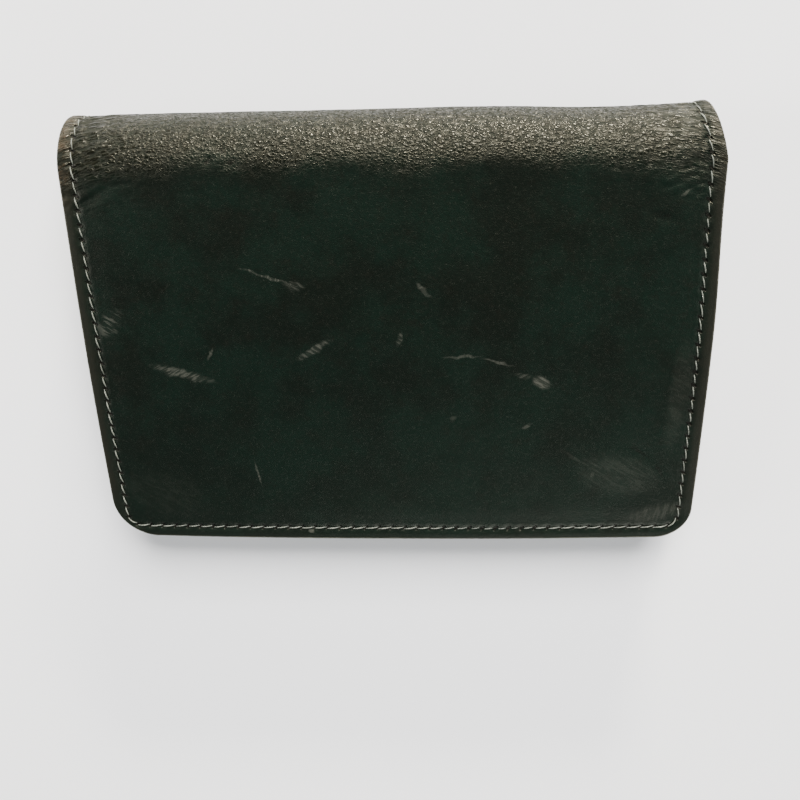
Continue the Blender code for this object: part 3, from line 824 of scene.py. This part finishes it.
def liningCreases(x, e):  # inside, the lining has long creases across the case where the fold bends
    lines = (1 - np.abs(latticeNoise(x / 13 + 20, e / 1.7, 51))) ** 3
    return 0.14 * lines * smooth(e, 62, 67) * smooth(halfWidth - np.abs(x), 3, 6)


for name, place, length, fold, nodes in (
    ("frontLiningSheet", frontPlace, frontHalf, foldFrontHalf, ("front_lining", "spine_lining")),
    ("backLiningSheet", backPlace, backHalf, foldBackHalf, ("back_lining",)),
):
    lining = makeSheet(
        name, lambda x, e, depth, place=place: place(x, e + liningInset, depth),
        {**liningSheet, "length": length - liningInset, "alongSteps": (0.7, 6.0, 2.0, 24.0, 0.4)},
        liningRelief, liningCreases,
    )
    dress(lining, liningHide)
    fold(lining, *nodes)

boardInset = 4.0
board = makeSheet(
    "frontBoard", lambda x, e, depth: frontPlace(x, e + boardInset, depth),
    {"half": halfWidth - boardInset, "corner": insetCorners(boardInset),
     "length": frontLength - 2 * boardInset, "top": 1.27, "bottom": 1.57, "edgeRound": 0.15,
     "acrossSteps": (1.0, 3.0, 4.0), "alongSteps": (1.0, 3.0, 3.0)},
)
dress(board, greyBoard)
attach(board, "front")
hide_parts("front_stiffener")
dress(frame["nodes"]["back_stiffener"], greyBoard)
print("linings and boards made")

stitch = {
    "pitch": seam["pitch"], "share": 1.06, "slant": 0.2, "rise": 0.03, "dive": 0.07, "radius": 0.118,
    "sideGap": 0.2,  # how much shorter the stitches show down the sides than across the open edge
    "side": 1,  # 1 on the outer side, -1 on the inner side
}
for name, place, length, fold, nodes, seed, lift in (
    ("frontStitches", frontPlace, frontHalf, foldFrontHalf,
     ("front_cover_thread", "spine_thread_left", "spine_thread_right"), 3, 0),
    ("backStitches", backPlace, backHalf, foldBackHalf, ("back_cover_thread",), 4, 1),
):
    row = makeStitches(
        name, place, lambda along, length=length: seamPath(along, seam, length), seamLength(seam, length),
        {**stitch, "seed": seed},
        lambda x, e, length=length, lift=lift: seamGroove(x, e, length)[0] + lift * backLift(e),
    )
    dress(row, waxedThread)
    fold(row, *nodes)
print("cover stitches made")


# The slip pocket inside the front cover, and the card pocket on the back cover
flap = {"inset": 0.4, "length": 53.0, "top": 2.2, "bottom": 2.8, "crease": 2.2}
strip = {"inset": 0.4, "width": 3.6, "half": halfWidth - 8.5, "top": 2.2, "bottom": 3.1}
pocketLow, pocketHigh = (Vector(corner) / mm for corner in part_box("pocket_panel"))
pocket = {
    "slope": math.radians(4),
    "wall": 0.8,  # the straight part of its foot
    "bend": 1.5,
    "leather": 0.9,
    "corner": (2.5, 2.5),
    "slipHeight": 40.0,
    "slipLeather": 0.6,
    "gap": 0.1,
    "crease": 2.0,  # how far the tooled line is from the mouth
    "puff": 0.35,  # how far the panel swells over the cards
}
pocketHalf = pocketHigh.x
bendLength = pocket["bend"] * (math.pi / 2 - pocket["slope"])
panelLength = (pocketHigh.y - pocketLow.y - pocket["bend"]) / math.cos(pocket["slope"])
pocketLength = pocket["wall"] + bendLength + panelLength


def pocketPlace(x, t, depth):
    # t runs up the pocket's wall, round its bend and along its slope to the mouth. On the slope the panel
    # swells by one half wave across times one along.
    slope, radius = pocket["slope"], pocket["bend"] - depth
    angle = np.pi - np.clip((t - pocket["wall"]) / pocket["bend"], 0, np.pi / 2 - slope)
    beyond = np.maximum(t - pocket["wall"] - bendLength, 0)
    y = pocketLow.y + pocket["bend"] + radius * np.cos(angle) + beyond * math.cos(slope)
    z = pocketLow.z + np.minimum(t, pocket["wall"]) + radius * np.sin(angle) + beyond * math.sin(slope)
    swell = np.sin(np.pi * np.clip(x / pocketHalf / 2 + 0.5, 0, 1))
    swell = swell * np.sin(np.pi * np.clip(beyond / panelLength, 0, 1))
    return np.stack(np.broadcast_arrays(x, y, z + pocket["puff"] * swell), -1)


def tooledLine(distance):  # a narrow groove pressed along an edge
    return 0.14 * np.exp(-((distance / 0.28) ** 2))


def panelRelief(x, e):  # the tooled line along the mouth, and shallow waves
    return tooledLine(e - pocket["crease"]) - 0.05 * latticeNoise(x / 14 + 50, e / 12, 31)


def innerSheet(name, place, sheet, body, nodes, relief=None, under=None):  # a pocket's leather on its body
    steps = {"acrossSteps": (0.3, 3.4, 0.9), "alongSteps": (0.3, 3.4, 0.8, 3.0, 0.3), "edgeRound": 0.28}
    piece = makeSheet(name, place, {**steps, **sheet}, relief, under)
    dress(piece, innerHide)
    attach(piece, body)
    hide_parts(*nodes)
    return piece


innerSheet(
    "pocketFront", lambda x, e, depth: pocketPlace(x, pocketLength - e, depth),
    {"half": pocketHalf, "corner": pocket["corner"], "length": pocketLength,
     "top": 0.0, "bottom": pocket["leather"], "alongSteps": (0.3, 3.4, 0.8, 5.0, 0.25)},
    "pocket", ["pocket_panel"], panelRelief,
)
slipStart = pocket["wall"] + bendLength + pocket["gap"]
slipTop = -pocket["gap"] - pocket["slipLeather"]
innerSheet(
    "pocketSlip", lambda x, e, depth: pocketPlace(x, slipStart + pocket["slipHeight"] - e, depth),
    {"half": pocketHalf - 0.4, "corner": pocket["corner"], "length": pocket["slipHeight"],
     "top": slipTop, "bottom": -pocket["gap"]},
    "pocket", ["pocket_slip_panel"], panelRelief,
)
innerSheet(
    "flapSlip", lambda x, e, depth: frontPlace(x, e + flap["inset"], depth),
    {"half": halfWidth - flap["inset"], "corner": insetCorners(flap["inset"]), "length": flap["length"],
     "top": flap["top"], "bottom": flap["bottom"]},
    "front", ["flap_slip_panel"], under=lambda x, e: -tooledLine(flap["length"] - e - flap["crease"]),
)
innerSheet(
    "pocketFoot", lambda x, e, depth: backPlace(x, e + strip["inset"], depth),
    {"half": strip["half"], "corner": (1.0, 1.0), "length": strip["width"],
     "top": strip["top"], "bottom": strip["bottom"], "alongSteps": (0.3, 1.6, 0.4)},
    "back", ["pocket_bottom_margin"], under=lambda x, e: -tooledLine(strip["width"] - e - 0.5),
)
print("pockets made")

# Each gusset is one strip folded in a V, from the back cover to the underside of the pocket
gusset = {"leather": 0.6, "flange": 3.6, "depth": 7.2, "base": 2.2, "endGap": 1.5, "inset": 0.4}
gussetOuter = halfWidth - gusset["inset"]


def gussetProfile(y, side):
    # The strip's middle line across x and z at each y. Side runs from -1 at the back cover, over 0 at the tip
    # of the V, to 1 under the pocket: z rises as sin(pi / 2 side) and x runs in to the tip as 1 - |side|^1.6.
    rise = (y - pocketLow.y - pocket["bend"]) * math.tan(pocket["slope"])
    roof = pocketLow.z + pocket["wall"] + pocket["bend"] - pocket["leather"] + rise
    low = gusset["base"] + gusset["leather"] / 2
    high = roof - pocket["gap"] - gusset["leather"] / 2
    reach = 1 - np.abs(side) ** 1.6
    x = gussetOuter - gusset["flange"] - (gusset["depth"] - gusset["flange"]) * reach
    return x, (low + high) / 2 + (high - low) / 2 * np.sin(np.pi / 2 * side)


def makeGusset(name, mirror):
    # The profile with a flat leaf at either end, moved half the leather's thickness to both sides, square to
    # its own direction, and closed along its four edges.
    y = np.linspace(pocketLow.y + gusset["endGap"], pocketHigh.y - 0.1, 90)[:, None]
    x, z = gussetProfile(y, np.linspace(-1, 1, 33)[None, :])
    x = np.broadcast_to(x, z.shape)
    out = np.arange(1, 6)[None, :] / 6  # how far out along a leaf
    foot = x[:, :1] + (gussetOuter - x[:, :1]) * out[:, ::-1]
    head = x[:, -1:] + (pocketHalf - gusset["inset"] - x[:, -1:]) * out
    lineX = np.concatenate([foot, x, head], 1)
    lineY = np.broadcast_to(y, lineX.shape)
    lineZ = np.concatenate([np.repeat(z[:, :1], out.size, 1), z, np.repeat(z[:, -1:], out.size, 1)], 1)
    alongX, alongZ = np.gradient(lineX, axis=1), np.gradient(lineZ, axis=1)
    size = np.hypot(alongX, alongZ)
    creases = 0.06 * latticeNoise(lineY / 4, lineX / 1.5, 41) * smooth(halfWidth - 4.5 - lineX, 0, 1)
    sheets = []
    for half in (-gusset["leather"] / 2, gusset["leather"] / 2):
        shift = (half + creases) / size
        sheets.append(np.stack([mirror * (lineX - alongZ * shift), lineY, lineZ + alongX * shift], -1))
    grid = np.arange(lineX.size).reshape(lineX.shape)
    far = grid + lineX.size
    rims = []
    for edge in (grid[0], grid[-1], grid[:, 0], grid[:, -1]):
        rims.append(np.stack([edge[:-1], edge[1:], edge[1:] + lineX.size, edge[:-1] + lineX.size], -1))
    rims[1], rims[2] = rims[1][:, ::-1], rims[2][:, ::-1]
    quads = np.concatenate([cells(grid)[:, ::-1], cells(far)] + rims)
    return makeMesh(name, np.concatenate(sheets).reshape(-1, 3), quads)


for side, mirror in (("left", -1), ("right", 1)):
    piece = makeGusset(f"{side}Gusset", mirror)
    dress(piece, innerHide)
    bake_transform(piece)
    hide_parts(f"gusset_{side}_lower_leaf", f"gusset_{side}_upper_leaf")
print("gussets made")


def frontInside(x, e):  # depth of the surface that the front's inner stitches lie on
    slipEnd = flap["inset"] + flap["length"] - 0.4
    return np.where(e < slipEnd, flap["bottom"], cover["liningBottom"]) + 0.0 * x


def backInside(x, e):  # and the back's: the pocket's foot, the gussets and the lining
    stripEnd, gussetEnd = strip["inset"] + strip["width"], pocketHigh.y - openEdge
    onStrip = (e < stripEnd) & (np.abs(x) < strip["half"])
    onGusset = (e > stripEnd) & (e < gussetEnd)
    besideStrip = np.where(onGusset, gusset["base"] + gusset["leather"], cover["liningBottom"])
    return np.where(onStrip, strip["bottom"], besideStrip)


for name, place, length, fold, surface, seed in (
    ("frontInnerStitches", frontPlace, frontHalf, foldFrontHalf, frontInside, 5),
    ("backInnerStitches", backPlace, backHalf, foldBackHalf, backInside, 6),
):
    row = makeStitches(
        name, place, lambda along, length=length: seamPath(along, seam, length), seamLength(seam, length),
        {**stitch, "seed": seed, "side": -1}, surface,
    )
    dress(row, waxedThread)
    fold(row)

pocketSeam = {"half": pocketHalf, "margin": 2.2, "corner": 1.0}
pocketSeamLength = pocketLength - slipStart - 1.0


def pocketSurface(x, e):  # the slip pocket's front, then the panel's
    return slipTop * (1 - smooth(e, pocket["slipHeight"] - 0.5, pocket["slipHeight"] + 0.1)) + 0.0 * x


row = makeStitches(
    "pocketStitches", lambda x, e, depth: pocketPlace(x, slipStart + e, depth),
    lambda along: seamPath(along, pocketSeam, pocketSeamLength), seamLength(pocketSeam, pocketSeamLength),
    {**stitch, "seed": 7}, pocketSurface,
)
dress(row, waxedThread)
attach(row, "pocket")
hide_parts("pocket_thread_left", "pocket_thread_right")
print("inner stitches made")

# Floor, light and camera
bpy.ops.mesh.primitive_plane_add(size=6)
floor = bpy.context.object
floor.name = "paleFloor"
floorMaterial = bpy.data.materials.new("palePaper")
floorMaterial.use_nodes = True
floorShader = floorMaterial.node_tree.nodes["Principled BSDF"].inputs
floorShader["Base Color"].default_value = (0.94, 0.94, 0.96, 1)
floorShader["Roughness"].default_value = 0.9
floor.data.materials.append(floorMaterial)

lights = {
    "key": {"place": (0.25, 1.25, 1.05), "size": (1.2, 0.9), "power": 100, "colour": (1.0, 0.99, 0.97)},
    "alongFold": {"place": (0.2, 1.32, 0.22), "size": (0.3, 0.08), "power": 62, "colour": (1.0, 0.94, 0.79)},
    "frontFill": {"place": (0.3, -1.25, 0.45), "size": (1.0, 0.5), "power": 13, "colour": (0.94, 1.0, 0.98)},
    "leftFill": {"place": (-1.3, 0.0, 0.6), "size": (0.6, 0.6), "power": 14, "colour": (1.0, 1.0, 1.0)},
    "rightFill": {"place": (1.3, -0.3, 0.5), "size": (0.6, 0.6), "power": 6, "colour": (1.0, 1.0, 1.0)},
}
for name, spec in lights.items():
    lamp = bpy.data.lights.new(name, "AREA")
    lamp.shape = "RECTANGLE"
    lamp.size, lamp.size_y = spec["size"]
    lamp.energy = spec["power"]
    lamp.color = spec["colour"]
    holder = bpy.data.objects.new(name, lamp)
    holder.location = spec["place"]
    holder.rotation_euler = (-Vector(spec["place"])).to_track_quat("-Z", "Y").to_euler()
    bpy.context.scene.collection.objects.link(holder)
world = bpy.data.worlds.new("softRoom")
world.use_nodes = True
world.node_tree.nodes["Background"].inputs[0].default_value = (0.96, 0.97, 1.0, 1)
world.node_tree.nodes["Background"].inputs[1].default_value = 0.09
bpy.context.scene.world = world

view = {"place": (9.6, 1.0 + foldY, 161.2), "turn": (16.05, -3.15, 0.26), "lens": 38.6}
camera = bpy.data.objects.new("camera", bpy.data.cameras.new("camera"))
camera.data.lens = view["lens"]
camera.data.clip_start = 0.01
turns = [Matrix.Rotation(math.radians(angle), 3, axis) for angle, axis in zip(view["turn"], "XYZ")]
turned = (turns[2] @ turns[1] @ turns[0]).transposed()
camera.matrix_world = Matrix.LocRotScale(Vector(view["place"]) * mm, turned, None)
bpy.context.scene.collection.objects.link(camera)
bpy.context.scene.camera = camera
print("stage set")
